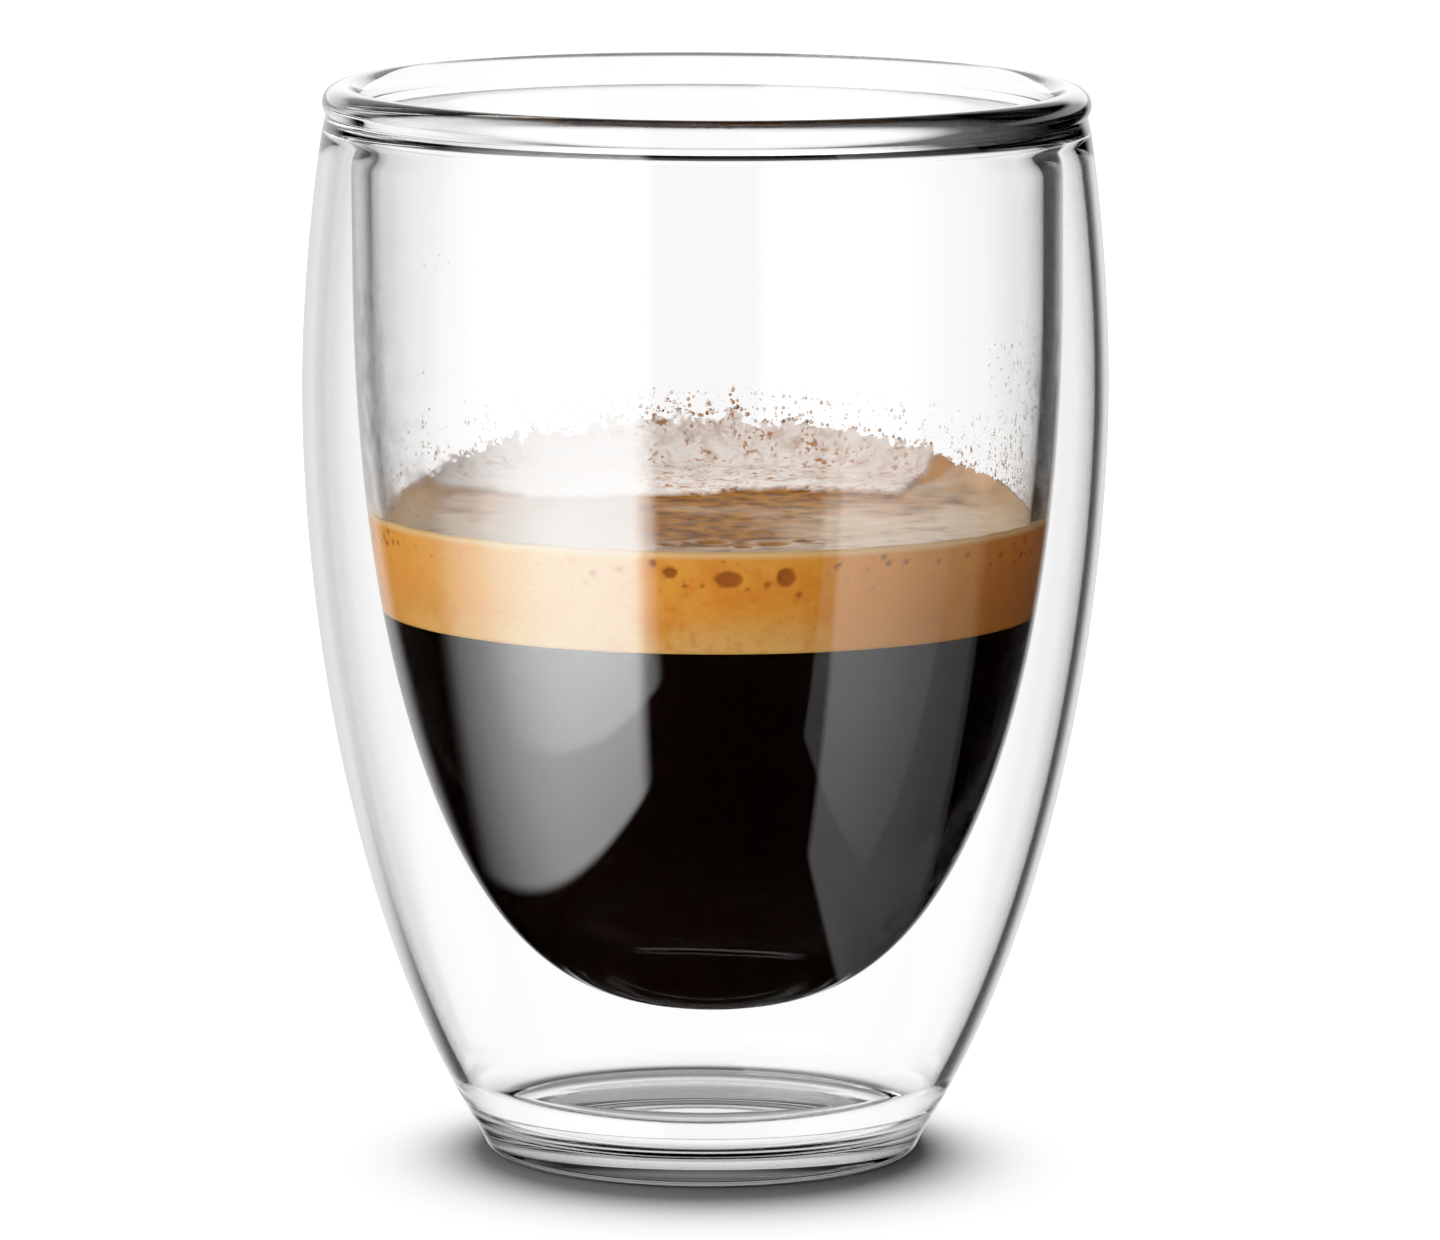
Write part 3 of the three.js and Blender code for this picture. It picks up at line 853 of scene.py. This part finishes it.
# what mirrored light sees: the white wall behind, as wide as it shows, a glow above it that only
# the first mirroring sees, and the softboxes
behind = add_node(sky, "Math", (to_y, 0.001), operation="MAXIMUM")
sideways = add_node(sky, "Math", (to_x, behind), operation="DIVIDE")
mirrored = fade(
    sky,
    (sideways, -0.85, -0.5),
    (sideways, 0.5, 0.28, 0.0, 0.92),
    (to_y, 0.1, 0.2),
    (to_z, 0.6, 0.42),
    (to_z, -0.40, -0.24),
)
first_mirroring = add_node(sky, "Math", (glossy_depth, 1.5), operation="LESS_THAN")
glow = fade(
    sky, (to_z, 0.02, 0.1, 0.0, 1.3), (to_z, 0.36, 0.26), (to_y, 0.1, 0.3), first_mirroring
)
for part in (glow, *(softbox(**box) for box in SOFTBOXES)):
    mirrored = add_node(sky, "Math", (mirrored, part), operation="ADD")

# what the eye sees straight or through the glass: white, but dark high up and where the light comes
# steeply from below, and paler again from straight below
through = fade(sky, (to_z, 0.40, 0.22, 0.06, 1.0), (to_z, -0.66, -0.5, 0.3, BACKGROUND))
below = fade(sky, (to_z, -0.76, -0.86, 0.0, 0.7))
through = add_node(sky, "Math", (through, below), operation="ADD")

# what lights the foam
overhead = fade(sky, (to_z, 0.75, 0.95, 0.0, 1.3))
across = fade(sky, (to_x, -0.1, 0.75, FOAM_LIGHT_LEFT, FOAM_LIGHT_RIGHT))
around = add_node(sky, "Math", (overhead, across), operation="ADD")

# one of the three by how the light has gone, and an even light for what the glass has let out
was_mirrored = add_node(sky, "Math", (glossy_depth, 1.0), operation="MINIMUM")
was_scattered = add_node(sky, "Math", (diffuse_depth, 1.0), operation="MINIMUM")
many_mirrorings = add_node(sky, "Math", (glossy_depth, TRAPPED_AFTER), operation="GREATER_THAN")
few_passes = add_node(sky, "Math", (transmission_depth, 2.5), operation="LESS_THAN")
let_out = add_node(sky, "Math", (many_mirrorings, few_passes), operation="MULTIPLY")
strength = add_node(sky, "Mix", {0: was_mirrored, 2: through, 3: mirrored})
strength = add_node(sky, "Mix", {0: let_out, 2: strength, 3: LET_OUT_LIGHT})
strength = add_node(sky, "Mix", {0: was_scattered, 2: strength, 3: around})
set_inputs(sky, sky.nodes["Background"], {"Color": linear("#ffffff"), "Strength": strength})

# The picture's highlights roll off softly, so that light glass on white keeps its tones.
ROLL_OFF = [(0.5, 0.5), (0.75, 0.725), (1.0, 0.89), (1.2, 0.965)]
WHITE_AT = 1.4

view = bpy.context.scene.view_settings
view.view_transform = "Standard"
view.look = "None"
view.use_curve_mapping = True
view.curve_mapping.clip_max_x = WHITE_AT
curve = view.curve_mapping.curves[3]
curve.points[-1].location = (WHITE_AT, 1.0)
for tone in ROLL_OFF:
    curve.points.new(*tone)
view.curve_mapping.update()
